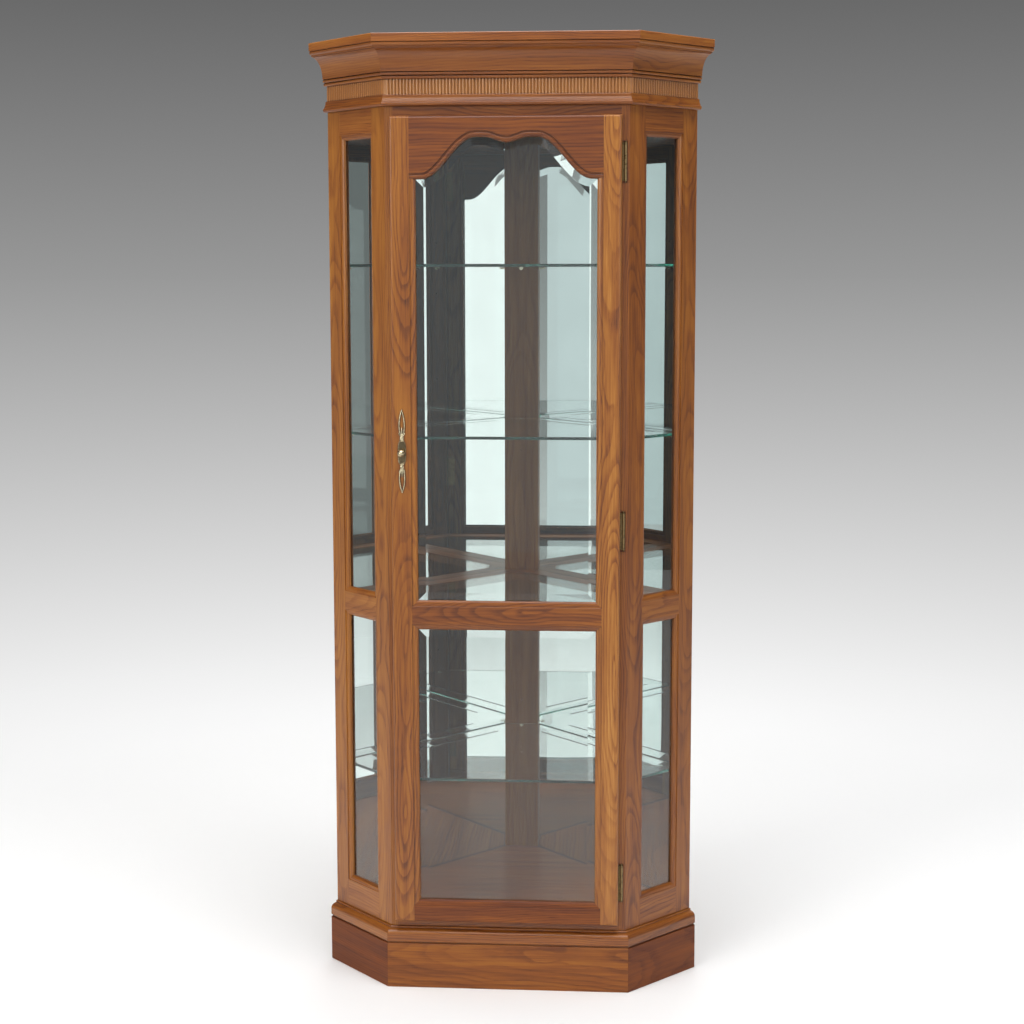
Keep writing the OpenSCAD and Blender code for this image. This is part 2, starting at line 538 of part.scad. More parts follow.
// pull plate: an oval boss with a beaded neck and an open pointed loop at each end
function loop_pts(z0, z1, w) = [for (i = [0:40]) let (t = i / 40, a = 360 * t) [w * sin(a) * (1 - 0.25 * cos(a)), (z0 + z1) / 2 - (z1 - z0) / 2 * cos(a)]];
module plate_2d() {
  difference() { polygon(loop_pts(35.5, 85, 7.5)); polygon(loop_pts(42, 78, 4.2)); }
  mirror([0, 1, 0]) difference() { polygon(loop_pts(35.5, 80, 7.5)); polygon(loop_pts(42, 73, 4.2)); }
  polygon(loop_pts(-26, 26, 8.5));
  for (k = [-1, 1]) { translate([0, 28 * k]) circle(r = 4.6, $fn = 32); translate([0, 34 * k]) circle(r = 3.8, $fn = 32); }
}
module handle_plate() {
  color(brass_c) place() difference() {
    translate([handle_x, door_y0, handle_z]) rotate([90, 0, 0]) linear_extrude(2.6) plate_2d();
    translate([handle_x, door_y0 + 1, handle_z]) rotate([90, 0, 0]) cylinder(r = 2.2, h = 6, $fn = 32);
  }
}
module handle_knob() {
  color(brass_c) place() translate([handle_x, door_y0, handle_z]) rotate([90, 0, 0]) rotate_extrude($fn = 48)
    polygon(concat([[0, -door_t], [3.8, -door_t], [3.8, -door_t + 2.4], [2.2, -door_t + 2.4], [2.2, 2.6], [5.2, 2.6], [4.4, 4.4], [3.4, 7], [3.4, 10]],
      [for (i = [0:10]) let (a = -60 + 15 * i) [7.2 * cos(a), 16.5 + 6.2 * sin(a)]], [[0, 22.7]]));
}

base_board_front();
base_board_sides();
base_cap_front();
base_cap_sides();
corner_post_left();
corner_post_right();
rear_post_left();
rear_post_right();
face_rail_top();
face_rail_bottom();
side_rail_top_left();
side_rail_top_right();
side_rail_mid_left();
side_rail_mid_right();
side_rail_bottom_left();
side_rail_bottom_right();
side_glass_upper_left();
side_glass_upper_right();
side_glass_lower_left();
side_glass_lower_right();
side_glass_stops();
neck_moulding_front();
neck_moulding_sides();
frieze_front();
frieze_sides();
crown_front();
crown_sides();
deck_panel();
deck_cleats();
top_panel();
top_cleats();
back_post();
mirror_left();
mirror_right();
back_panel_left();
back_panel_right();
fixed_shelf_front_rail();
fixed_shelf_side_rails();
fixed_shelf_back_rails();
fixed_shelf_glass();
shelf_pins();
hinge_frame_leaves();
hinge_pins();
hinge_frame_screws();
magnetic_catch();
door_stile_latch();
door_stile_hinge();
door_rail_top();
door_rail_mid();
door_rail_bottom();
door_glass_upper();
door_glass_lower();
door_glass_stops();
hinge_door_leaves();
catch_strike();
handle_plate();
handle_knob();
glass_shelf_upper();
glass_shelf_middle();
glass_shelf_lower();
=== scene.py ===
import math

import bmesh
import bpy
from mathutils import Matrix, Vector


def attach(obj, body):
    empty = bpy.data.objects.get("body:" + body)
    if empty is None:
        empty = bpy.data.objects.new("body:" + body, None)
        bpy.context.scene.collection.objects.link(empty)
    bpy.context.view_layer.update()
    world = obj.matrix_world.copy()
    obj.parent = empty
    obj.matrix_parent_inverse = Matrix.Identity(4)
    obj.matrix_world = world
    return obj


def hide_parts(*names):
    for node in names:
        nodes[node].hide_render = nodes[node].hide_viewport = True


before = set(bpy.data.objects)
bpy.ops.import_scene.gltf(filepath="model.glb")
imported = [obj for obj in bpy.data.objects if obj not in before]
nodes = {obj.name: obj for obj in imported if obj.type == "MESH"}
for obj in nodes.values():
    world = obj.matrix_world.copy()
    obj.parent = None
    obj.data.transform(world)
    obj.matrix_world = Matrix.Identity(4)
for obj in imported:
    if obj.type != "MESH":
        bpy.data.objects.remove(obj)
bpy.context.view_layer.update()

scene = bpy.context.scene
scene.view_settings.view_transform = "Standard"
scene.view_settings.look = "None"
scene.cycles.max_bounces = 28
scene.cycles.transmission_bounces = 24
scene.cycles.glossy_bounces = 20
scene.cycles.transparent_max_bounces = 24
scene.cycles.caustics_reflective = False
scene.cycles.caustics_refractive = False
C45 = math.cos(math.radians(45))
MM = 0.001
SHIFT = 221.0  # the case face lies this far in front of the middle, in millimetres


def V(x, y, z):
    """A point in millimetres, y from the case face, as the frame's metres."""
    return Vector((x * MM, (y - SHIFT) * MM, z * MM))


def lin(r, g, b):
    """A colour of 0 to 255 as the renderer's linear one."""
    return tuple((c / 255 / 12.92) if c / 255 <= 0.04045 else (((c / 255) + 0.055) / 1.055) ** 2.4 for c in (r, g, b)) + (1.0,)


# ---------------------------------------------------------------- node helpers
class Tree:
    def __init__(self, name):
        self.mat = bpy.data.materials.new(name)
        self.mat.use_nodes = True
        self.nt = self.mat.node_tree
        self.nt.nodes.clear()

    def node(self, kind, **props):
        n = self.nt.nodes.new(kind)
        for k, v in props.items():
            setattr(n, k, v)
        return n

    def put(self, socket, value):
        if isinstance(value, bpy.types.NodeSocket):
            self.nt.links.new(value, socket)
        elif value is not None:
            socket.default_value = value

    def math(self, op, a, b=None, c=None, clamp=False):
        n = self.node("ShaderNodeMath", operation=op, use_clamp=clamp)
        for s, v in zip(n.inputs, (a, b, c)):
            self.put(s, v)
        return n.outputs[0]

    def dot(self, a, b):
        n = self.node("ShaderNodeVectorMath", operation="DOT_PRODUCT")
        self.put(n.inputs[0], a)
        self.put(n.inputs[1], b)
        return n.outputs["Value"]

    def vec(self, x, y, z):
        n = self.node("ShaderNodeCombineXYZ")
        for s, v in zip(n.inputs, (x, y, z)):
            self.put(s, v)
        return n.outputs[0]

    def noise(self, vector, scale=1.0, detail=2.0, rough=0.5, distort=0.0, lac=2.0):
        n = self.node("ShaderNodeTexNoise", noise_dimensions="3D")
        self.put(n.inputs["Vector"], vector)
        self.put(n.inputs["Scale"], scale)
        self.put(n.inputs["Detail"], detail)
        self.put(n.inputs["Roughness"], rough)
        self.put(n.inputs["Distortion"], distort)
        self.put(n.inputs["Lacunarity"], lac)
        return n

    def smooth(self, v, a, b, to0=0.0, to1=1.0):
        n = self.node("ShaderNodeMapRange", interpolation_type="SMOOTHSTEP")
        self.put(n.inputs["Value"], v)
        for k, x in zip(("From Min", "From Max", "To Min", "To Max"), (a, b, to0, to1)):
            n.inputs[k].default_value = x
        return n.outputs["Result"]

    def ramp(self, v, stops, interp="LINEAR"):
        n = self.node("ShaderNodeValToRGB")
        n.color_ramp.interpolation = interp
        e = n.color_ramp.elements
        while len(e) < len(stops):
            e.new(0.5)
        for x, (p, c) in zip(e, stops):
            x.position = p
            x.color = c
        self.put(n.inputs[0], v)
        return n.outputs[0]

    def mix(self, f, a, b, blend="MIX"):
        n = self.node("ShaderNodeMix", data_type="RGBA", blend_type=blend)
        self.put(n.inputs["Factor"], f)
        self.put(n.inputs["A"], a)
        self.put(n.inputs["B"], b)
        return [o for o in n.outputs if o.type == "RGBA"][0]

    def bump(self, height, strength, distance, normal=None):
        n = self.node("ShaderNodeBump")
        n.inputs["Strength"].default_value = strength
        n.inputs["Distance"].default_value = distance
        self.put(n.inputs["Height"], height)
        if normal is not None:
            self.put(n.inputs["Normal"], normal)
        return n.outputs[0]

    def surface(self, shader):
        o = self.node("ShaderNodeOutputMaterial")
        self.nt.links.new(shader, o.inputs["Surface"])
        return self.mat


X, Y, Z = (1, 0, 0), (0, 1, 0), (0, 0, 1)
S_ALONG, S_OUT = (C45, C45, 0), (C45, -C45, 0)


def wood(name, grain, across, depth, seed=0.0, tone_and_side_light=0.0, red=0.0, pith=(0.0, 0.045), slope=0.035, ring=0.0048,
         contrast=1.0, dull=0.0, paired=False, hue=(1.0, 1.0, 1.0), crease_shade=0.0):
    """Lacquered oak. grain, across and depth are the board's axes; pith is how far the tree's centre lies from the board, so that
    rings cut its face as arches; slope tilts the board to the tree; paired boards, one on each side, don't repeat each other."""
    t = Tree(name)
    P = t.node("ShaderNodeTexCoord").outputs["Object"]
    if paired:
        sep = t.node("ShaderNodeSeparateXYZ")
        t.put(sep.inputs[0], P)
        other = t.math("LESS_THAN", sep.outputs[0], 0.0)
        P = t.vec(t.math("ABSOLUTE", sep.outputs[0]), sep.outputs[1], t.math("MULTIPLY_ADD", other, 2.37, sep.outputs[2]))
        # a second offset along the grain, for boards that lie flat
        a = t.math("MULTIPLY_ADD", other, 1.73, t.dot(P, grain))
    else:
        a = t.dot(P, grain)
    a = t.math("ADD", a, seed * 3.17 + 0.4)
    b = t.math("ADD", t.dot(P, across), pith[0])
    d = t.math("ADD", t.dot(P, depth), pith[1])
    # slow wander of the tree's centre, so that the arches open and close along the board
    slow = t.noise(t.vec(t.math("MULTIPLY", a, 3.1), t.math("MULTIPLY", b, 6.0), seed * 7.1), 1.0, 2.0, 0.5)
    sepc = t.node("ShaderNodeSeparateColor")
    t.put(sepc.inputs[0], slow.outputs["Color"])
    mid = t.noise(t.vec(t.math("MULTIPLY", a, 14.0), t.math("MULTIPLY", b, 40.0), t.math("MULTIPLY_ADD", d, 40.0, seed)), 1.0, 2.0, 0.5)
    b1 = t.math("MULTIPLY_ADD", t.math("SUBTRACT", sepc.outputs[0], 0.5), 0.036, b)
    d1 = t.math("ADD", t.math("MULTIPLY_ADD", t.math("SUBTRACT", sepc.outputs[1], 0.5), 0.042, d), t.math("MULTIPLY", t.math("SINE", t.math("MULTIPLY", a, 5.3)), slope * 0.40))
    d1 = t.math("MULTIPLY_ADD", t.math("SUBTRACT", mid.outputs["Fac"], 0.5), 0.007, d1)
    R = t.math("SQRT", t.math("ADD", t.math("POWER", b1, 2.0), t.math("POWER", d1, 2.0)))
    # ring spacing changes from year to year
    years = t.noise(t.vec(t.math("MULTIPLY", R, 55.0), seed, 0.3), 1.0, 1.0, 0.5)
    ph = t.math("MULTIPLY_ADD", years.outputs["Fac"], 1.6, t.math("MULTIPLY", R, 1.0 / ring))
    f = t.math("FRACT", ph)
    early = t.math("MULTIPLY", t.smooth(f, 0.0, 0.10), t.smooth(f, 0.12, 0.62, 1.0, 0.0))
    strength = t.smooth(t.noise(t.vec(t.math("MULTIPLY", R, 24.0), t.math("MULTIPLY", a, 1.6), seed + 4.0), 1.0, 2.0, 0.5).outputs["Fac"], 0.30, 0.68, 0.35, 1.0)
    early = t.math("MULTIPLY", early, strength)
    # fibres, streaks and open pores, all long with the grain
    fibre = t.noise(t.vec(t.math("MULTIPLY", a, 11.0), t.math("MULTIPLY", b, 330.0), t.math("MULTIPLY", d, 330.0)), 1.0, 3.0, 0.6).outputs["Fac"]
    streak = t.noise(t.vec(t.math("MULTIPLY", a, 3.2), t.math("MULTIPLY", b, 62.0), t.math("MULTIPLY_ADD", d, 62.0, seed)), 1.0, 2.0, 0.55).outputs["Fac"]
    pore = t.smooth(t.noise(t.vec(t.math("MULTIPLY", a, 42.0), t.math("MULTIPLY", b, 1250.0), t.math("MULTIPLY", d, 1250.0)), 1.0, 1.0, 0.5).outputs["Fac"], 0.56, 0.70)
    pore = t.math("MULTIPLY", pore, t.math("MULTIPLY_ADD", early, 0.85, 0.18))
    cloud = t.noise(t.vec(t.math("MULTIPLY", a, 1.9), t.math("MULTIPLY", b, 9.0), t.math("MULTIPLY_ADD", d, 9.0, seed * 1.7)), 1.0, 3.0, 0.5).outputs["Fac"]
    v = t.math("MULTIPLY_ADD", t.math("SUBTRACT", streak, 0.5), 0.58 * contrast, 0.57 + tone_and_side_light)
    v = t.math("MULTIPLY_ADD", t.math("SUBTRACT", cloud, 0.5), 0.30 * contrast, v)
    v = t.math("MULTIPLY_ADD", t.math("SUBTRACT", fibre, 0.5), 0.46 * contrast, v)
    v = t.math("MULTIPLY_ADD", early, -0.17 * contrast, v)
    v = t.math("MULTIPLY_ADD", pore, -0.24 * contrast, v, clamp=True)

    def col(r, g, b_):
        k = lin(r, g, b_)
        return (min(1, k[0] * hue[0]), min(1, k[1] * hue[1] * (1 - 0.16 * red)), min(1, k[2] * hue[2] * (1 - 0.22 * red)), 1.0)

    colour = t.ramp(v, [(0.0, col(66, 28, 7)), (0.28, col(104, 51, 14)), (0.52, col(143, 81, 24)), (0.76, col(171, 107, 38)), (1.0, col(196, 135, 60))])
    # painted shade: ambient occlusion darkens the oak's colour in creases, recesses, between reeds and where parts meet
    if crease_shade > 0:
        ao = t.node("ShaderNodeAmbientOcclusion", samples=8)
        ao.inputs["Distance"].default_value = crease_shade
        dark = t.smooth(ao.outputs["AO"], 0.30, 0.96, 0.0, 1.0)
        colour = t.mix(1.0, colour, t.ramp(dark, [(0.0, (0.16, 0.11, 0.08, 1)), (0.6, (0.72, 0.66, 0.60, 1)), (1.0, (1, 1, 1, 1))]), "MULTIPLY")
    h = t.math("MULTIPLY_ADD", pore, -1.0, t.math("MULTIPLY", t.math("ADD", early, t.math("MULTIPLY", fibre, 0.5)), -0.30))
    bs = t.node("ShaderNodeBsdfPrincipled")
    t.put(bs.inputs["Base Color"], colour)
    t.put(bs.inputs["Roughness"], t.math("ADD", t.math("MULTIPLY_ADD", fibre, 0.16, 0.34 + dull), t.math("MULTIPLY", pore, 0.15), clamp=True))
    t.put(bs.inputs["Normal"], t.bump(h, 0.30, 0.00035))
    bs.inputs["IOR"].default_value = 1.48
    bs.inputs["Coat Weight"].default_value = max(0.0, 0.24 - dull)
    bs.inputs["Coat Roughness"].default_value = 0.20
    bs.inputs["Coat IOR"].default_value = 1.5
    return t.surface(bs.outputs[0])


def glass(name, tint, edge, shade=0.985, smear=0.0, seed=0.0):
    """Clear glass that lets light through to what is behind it; its cut edges show green."""
    t = Tree(name)
    P = t.node("ShaderNodeTexCoord").outputs["Object"]
    n = t.noise(P, 3.0 + seed, 3.0, 0.5).outputs["Fac"]
    geo = t.node("ShaderNodeNewGeometry")
    sep = t.node("ShaderNodeSeparateXYZ")
    t.put(sep.inputs[0], geo.outputs["Normal"])
    body = t.mix(n, tint, tuple(min(1, c * 0.985) for c in tint[:3]) + (1,))
    if edge is not None:
        axis, colour = edge
        is_edge = t.smooth(t.math("ABSOLUTE", t.dot(geo.outputs["Normal"], axis)), 0.35, 0.6, 1.0, 0.0)
        body = t.mix(is_edge, body, colour)
    bs = t.node("ShaderNodeBsdfPrincipled")
    t.put(bs.inputs["Base Color"], body)
    bs.inputs["Transmission Weight"].default_value = 1.0
    bs.inputs["IOR"].default_value = 1.5
    bs.inputs["Specular Tint"].default_value = (1, 1, 1, 1)
    # faint smears from polishing
    t.put(bs.inputs["Roughness"], t.smooth(t.noise(t.vec(t.dot(P, (7, 0, 3)), t.dot(P, (0, 7, 0)), t.dot(P, (0, 0, 9))), 1.0, 3.0, 0.6).outputs["Fac"], 0.5, 0.8, 0.0, 0.004 + smear))
    tr = t.node("ShaderNodeBsdfTransparent")
    tr.inputs[0].default_value = (shade, shade * 1.01, shade, 1)
    lp = t.node("ShaderNodeLightPath")
    m = t.node("ShaderNodeMixShader")
    t.put(m.inputs[0], lp.outputs["Is Shadow Ray"])
    t.put(m.inputs[1], bs.outputs[0])
    t.put(m.inputs[2], tr.outputs[0])
    return t.surface(m.outputs[0])


def mirror(name, tint, seed=0.0):
    """Silvered glass: a slight green cast, with the silver a little clouded in places."""
    t = Tree(name)
    P = t.node("ShaderNodeTexCoord").outputs["Object"]
    n = t.noise(P, 5.0 + seed, 3.0, 0.6).outputs["Fac"]
    bs = t.node("ShaderNodeBsdfPrincipled")
    t.put(bs.inputs["Base Color"], t.mix(t.smooth(n, 0.35, 0.75), tint, tuple(c * 0.965 for c in tint[:3]) + (1,)))
    bs.inputs["Metallic"].default_value = 1.0
    t.put(bs.inputs["Roughness"], t.smooth(n, 0.5, 0.8, 0.0, 0.012))
    return t.surface(bs.outputs[0])


def metal(name, bright, dark, scale=180.0, rough=0.28, seed=0.0, hollow=0.004, wear=0.55, dish=None):
    """Metal with a lacquered, slightly mottled skin, darker in its hollows and brighter where it is rubbed."""
    t = Tree(name)
    P = t.node("ShaderNodeTexCoord").outputs["Object"]
    n = t.noise(P, scale, 4.0, 0.6).outputs["Fac"]
    fine = t.noise(P, scale * 6, 2.0, 0.5).outputs["Fac"]
    ao = t.node("ShaderNodeAmbientOcclusion", samples=6)
    ao.inputs["Distance"].default_value = hollow
    open_ = t.smooth(ao.outputs["AO"], 0.35, 0.95)
    f = t.math("MULTIPLY", open_, t.smooth(n, 0.2, wear), clamp=True)
    if dish:
        # patina is left in the sunk middle of the plate
        sep = t.node("ShaderNodeSeparateXYZ")
        t.put(sep.inputs[0], P)
        sunk = t.math("MULTIPLY", t.smooth(sep.outputs[1], dish[0] - 0.0003, dish[0] + 0.0003),
                      t.smooth(t.math("ABSOLUTE", t.math("SUBTRACT", sep.outputs[2], dish[1])), dish[2] - 0.002, dish[2], 1.0, 0.0))
        f = t.math("MULTIPLY", f, t.math("MULTIPLY_ADD", sunk, -0.85, 1.0), clamp=True)
    bs = t.node("ShaderNodeBsdfPrincipled")
    t.put(bs.inputs["Base Color"], t.mix(f, dark, bright))
    bs.inputs["Metallic"].default_value = 1.0
    t.put(bs.inputs["Roughness"], t.math("ADD", t.math("MULTIPLY", n, 0.16), t.math("MULTIPLY_ADD", open_, -0.12, rough + 0.05)))
    t.put(bs.inputs["Normal"], t.bump(fine, 0.12, 0.0002))
    return t.surface(bs.outputs[0])


def board(name, base, flecks, rough=0.7, seed=0.0):
    """Pressed board: fine mottle and short fibres."""
    t = Tree(name)
    P = t.node("ShaderNodeTexCoord").outputs["Object"]
    n = t.noise(P, 420.0, 3.0, 0.65).outputs["Fac"]
    n2 = t.noise(P, 9.0 + seed, 3.0, 0.5).outputs["Fac"]
    fib = t.noise(t.vec(t.dot(P, (300, 0, 60)), t.dot(P, (0, 300, 60)), t.dot(P, (40, 0, 500))), 1.0, 2.0, 0.5).outputs["Fac"]
    v = t.math("ADD", t.math("MULTIPLY", n, 0.5), t.math("ADD", t.math("MULTIPLY", n2, 0.3), t.math("MULTIPLY", fib, 0.3)))
    bs = t.node("ShaderNodeBsdfPrincipled")
    t.put(bs.inputs["Base Color"], t.ramp(v, [(0.3, flecks), (0.75, base)]))
    t.put(bs.inputs["Roughness"], t.math("MULTIPLY_ADD", n, 0.2, rough - 0.1))
    t.put(bs.inputs["Normal"], t.bump(v, 0.25, 0.0004))
    return t.surface(bs.outputs[0])


def plastic(name, base, dark):
    t = Tree(name)
    P = t.node("ShaderNodeTexCoord").outputs["Object"]
    n = t.noise(P, 900.0, 2.0, 0.6).outputs["Fac"]
    bs = t.node("ShaderNodeBsdfPrincipled")
    t.put(bs.inputs["Base Color"], t.mix(n, dark, base))
    t.put(bs.inputs["Roughness"], t.math("MULTIPLY_ADD", n, 0.2, 0.4))
    t.put(bs.inputs["Normal"], t.bump(n, 0.15, 0.0002))
    return t.surface(bs.outputs[0])


# ---------------------------------------------------------------- materials of the CAD nodes
UP = dict(grain=Z, across=X, depth=Y)
CROSS = dict(grain=X, across=Z, depth=Y)
SIDE_UP = dict(grain=Z, across=S_ALONG, depth=S_OUT)
SIDE_CROSS = dict(grain=S_ALONG, across=Z, depth=S_OUT)
FLAT = dict(grain=X, across=Y, depth=Z)

mats = {}
mats["base_board_front"] = wood("oak_base_front", **CROSS, seed=1.2, tone_and_side_light=-0.02, pith=(-0.075, 0.31), ring=0.0085, slope=0.05, hue=(0.95, 0.88, 0.4), dull=0.16)
mats["base_board_sides"] = wood("oak_base_sides", **SIDE_CROSS, seed=2.1, tone_and_side_light=-0.2, pith=(-0.05, 0.34), paired=True, hue=(0.93, 0.78, 0.35), dull=0.24, contrast=0.6)
mats["base_cap_front"] = wood("oak_cap_front", **CROSS, seed=3.4, tone_and_side_light=0.02, pith=(-0.3, 0.24), red=0.2, crease_shade=0.006)
mats["base_cap_sides"] = wood("oak_cap_sides", **SIDE_CROSS, seed=4.4, tone_and_side_light=-0.02, pith=(-0.3, 0.24), paired=True, crease_shade=0.006)
# painted light: the left posts get lighter tones and the right posts darker, redder ones, as if lit from the left
mats["corner_post_left"] = wood("oak_post_left", **UP, seed=5.3, tone_and_side_light=0.09, pith=(0.30, 0.235), slope=0.05, hue=(1.0, 1.0, 0.82))
mats["corner_post_right"] = wood("oak_post_right", **UP, seed=6.9, tone_and_side_light=-0.05, pith=(-0.28, 0.235), slope=0.05, red=0.25, hue=(1.0, 1.0, 0.82))
mats["rear_post_left"] = wood("oak_rear_left", **UP, seed=7.7, tone_and_side_light=0.12, pith=(0.41, 0.13), slope=0.05, hue=(1.0, 1.0, 0.82))
mats["rear_post_right"] = wood("oak_rear_right", **UP, seed=8.1, tone_and_side_light=-0.02, pith=(-0.40, 0.13), slope=0.05, red=0.1, hue=(1.0, 1.0, 0.82))
mats["face_rail_top"] = wood("oak_face_top", **CROSS, seed=9.5, tone_and_side_light=-0.05, pith=(-1.8, 0.26), red=0.3)
mats["face_rail_bottom"] = wood("oak_face_bottom", **CROSS, seed=10.2, tone_and_side_light=-0.08, pith=(-0.1, 0.26), red=0.3)
for k, side in enumerate(("left", "right")):
    s = -1 if side == "left" else 1
    axes = dict(grain=(s * C45, C45, 0), across=Z, depth=(s * C45, -C45, 0))
    # painted light: the left side's rails are made lighter than the right side's, as if lit by the key lamp on the left
    tone_and_side_light = 0.07 if side == "left" else 0.0
    mats["side_rail_top_" + side] = wood("oak_side_top_" + side, **axes, seed=11.1 + k, tone_and_side_light=tone_and_side_light - 0.04, pith=(-1.83, -0.28), red=0.2)
    mats["side_rail_mid_" + side] = wood("oak_side_mid_" + side, **axes, seed=13.1 + k, tone_and_side_light=tone_and_side_light, pith=(-0.80, -0.28))
    mats["side_rail_bottom_" + side] = wood("oak_side_bottom_" + side, **axes, seed=15.1 + k, tone_and_side_light=tone_and_side_light - 0.02, pith=(-0.12, -0.28), red=0.1)
mats["side_glass_stops"] = wood("oak_side_stops", **UP, seed=17.3, tone_and_side_light=-0.10, paired=True, dull=0.1)
mats["neck_moulding_front"] = wood("oak_neck_front", **CROSS, seed=18.6, tone_and_side_light=-0.06, pith=(-1.6, 0.26), red=0.2, crease_shade=0.006)
mats["neck_moulding_sides"] = wood("oak_neck_sides", **SIDE_CROSS, seed=19.3, tone_and_side_light=-0.06, pith=(-1.6, 0.26), red=0.2, paired=True, crease_shade=0.006)
mats["frieze_front"] = wood("oak_frieze_front", **UP, seed=20.8, tone_and_side_light=0.22, pith=(0.4, 0.235), contrast=0.28, hue=(1.0, 1.06, 1.55), crease_shade=0.003)
mats["frieze_sides"] = wood("oak_frieze_sides", **UP, seed=21.8, tone_and_side_light=0.18, pith=(0.4, 0.235), contrast=0.28, hue=(1.0, 1.04, 1.3), paired=True, crease_shade=0.003)
mats["crown_front"] = wood("oak_crown_front", **CROSS, seed=22.5, tone_and_side_light=-0.05, pith=(-1.75, 0.30), contrast=0.75, red=0.15, crease_shade=0.010, hue=(1.0, 0.97, 0.9))
mats["crown_sides"] = wood("oak_crown_sides", **SIDE_CROSS, seed=23.5, tone_and_side_light=0.02, pith=(-1.75, 0.30), contrast=0.75, red=0.1, paired=True, crease_shade=0.010)
mats["deck_panel"] = wood("oak_deck", **FLAT, seed=24.4, tone_and_side_light=-0.04, pith=(0.05, -0.08), ring=0.008, hue=(1.1, 1.0, 0.8), dull=0.14, contrast=0.7, crease_shade=0.014)
mats["deck_cleats"] = wood("oak_deck_cleats", **CROSS, seed=25.2, tone_and_side_light=-0.1, dull=0.3)
mats["top_panel"] = wood("oak_top_panel", **FLAT, seed=26.1, tone_and_side_light=-0.14, pith=(0.05, -1.70), dull=0.15)
mats["top_cleats"] = wood("oak_top_cleats", **CROSS, seed=27.8, tone_and_side_light=-0.1, dull=0.3)
mats["back_post"] = wood("stained_back_post", **UP, seed=28.3, tone_and_side_light=0.03, pith=(0.0, -0.20), contrast=0.75, ring=0.007, hue=(1.0, 1.18, 1.95), dull=0.12)
mats["fixed_shelf_front_rail"] = wood("oak_shelf_front", **FLAT, seed=29.6, tone_and_side_light=-0.05, pith=(0.15, -0.75))
mats["fixed_shelf_side_rails"] = wood("oak_shelf_sides", grain=S_ALONG, across=S_OUT, depth=Z, seed=30.7, tone_and_side_light=-0.05, pith=(0.02, -0.75), paired=True)
mats["fixed_shelf_back_rails"] = wood("oak_shelf_backs", grain=(C45, -C45, 0), across=S_ALONG, depth=Z, seed=31.4, tone_and_side_light=-0.05, pith=(-0.2, -0.75), paired=True)
mats["door_stile_latch"] = wood("oak_door_latch", **UP, seed=32.9, tone_and_side_light=0.03, pith=(0.205, 0.262), slope=0.075, ring=0.0075, contrast=1.1, crease_shade=0.005, hue=(1.0, 1.0, 0.82))
mats["door_stile_hinge"] = wood("oak_door_hinge", **UP, seed=33.6, tone_and_side_light=0.17, pith=(-0.215, 0.268), slope=0.06, ring=0.006, contrast=1.4, hue=(1.0, 1.02, 1.1), crease_shade=0.005)
mats["door_rail_mid"] = wood("oak_door_mid", **CROSS, seed=35.2, tone_and_side_light=-0.09, pith=(-0.79, 0.265), red=0.25, crease_shade=0.005, hue=(1.0, 1.0, 0.75))
mats["door_rail_bottom"] = wood("oak_door_bottom", **CROSS, seed=36.7, tone_and_side_light=-0.19, pith=(-0.12, 0.275), red=0.2, crease_shade=0.005, dull=0.18, hue=(0.95, 0.84, 0.35))
mats["door_glass_stops"] = wood("oak_door_stops", **UP, seed=37.2, tone_and_side_light=-0.12, dull=0.1)
arch_wood = wood("oak_door_arch", **CROSS, seed=34.3, tone_and_side_light=-0.19, pith=(-1.60, 0.245), red=0.5, ring=0.007, contrast=0.8, crease_shade=0.005, hue=(1.0, 1.0, 0.75))

PALE, GREEN = (0.955, 0.985, 0.975, 1), (0.30, 0.62, 0.54, 1)
side_pane = {"right": (C45, -C45, 0), "left": (-C45, -C45, 0)}
for side, n_ in side_pane.items():
    for level in ("upper", "lower"):
        mats[f"side_glass_{level}_{side}"] = glass(f"pane_{level}_{side}", (0.93, 0.975, 0.965, 1), (n_, GREEN))
shelf_mat = glass("plate_glass_shelf", (0.95, 0.985, 0.975, 1), (Z, (0.08, 0.62, 0.47, 1)), shade=0.96)
for n_ in ("glass_shelf_upper", "glass_shelf_middle", "glass_shelf_lower", "fixed_shelf_glass"):
    mats[n_] = shelf_mat
mats["mirror_left"] = mirror("silver_left", (0.86, 0.90, 0.89, 1))
mats["mirror_right"] = mirror("silver_right", (0.86, 0.90, 0.89, 1), 1.3)
mats["back_panel_left"] = board("hardboard_left", lin(150, 112, 72), lin(104, 72, 44), seed=1.0)
mats["back_panel_right"] = board("hardboard_right", lin(150, 112, 72), lin(104, 72, 44), seed=2.0)
mats["shelf_pins"] = metal("pin_brass", (0.86, 0.80, 0.62, 1), (0.50, 0.44, 0.30, 1), rough=0.25, hollow=0.002)
for n_ in ("hinge_frame_leaves", "hinge_pins", "hinge_frame_screws", "hinge_door_leaves"):
    mats[n_] = metal("brass_" + n_, (0.27, 0.19, 0.09, 1), (0.045, 0.028, 0.014, 1), rough=0.42, hollow=0.005)
mats["catch_strike"] = metal("zinc_plate", (0.62, 0.62, 0.62, 1), (0.36, 0.36, 0.37, 1), rough=0.38, hollow=0.001)
mats["magnetic_catch"] = plastic("brown_plastic", lin(104, 70, 46), lin(72, 46, 30))

for n_, o in nodes.items():
    if n_ in mats:
        o.data.materials.clear()
        o.data.materials.append(mats[n_])


def soften(o, width=0.0007, angle=38.0, segments=2):
    """Eases the sharp arrises of a solid, as sanding and polishing do."""
    w = o.modifiers.new("weld", "WELD")
    w.merge_threshold = 0.00002
    b = o.modifiers.new("ease", "BEVEL")
    b.width = width
    b.segments = segments
    b.limit_method = "ANGLE"
    b.angle_limit = math.radians(angle)
    b.use_clamp_overlap = True
    b.miter_outer = "MITER_SHARP"
    n = o.modifiers.new("even", "WEIGHTED_NORMAL")
    n.keep_sharp = False
    n.weight = 60


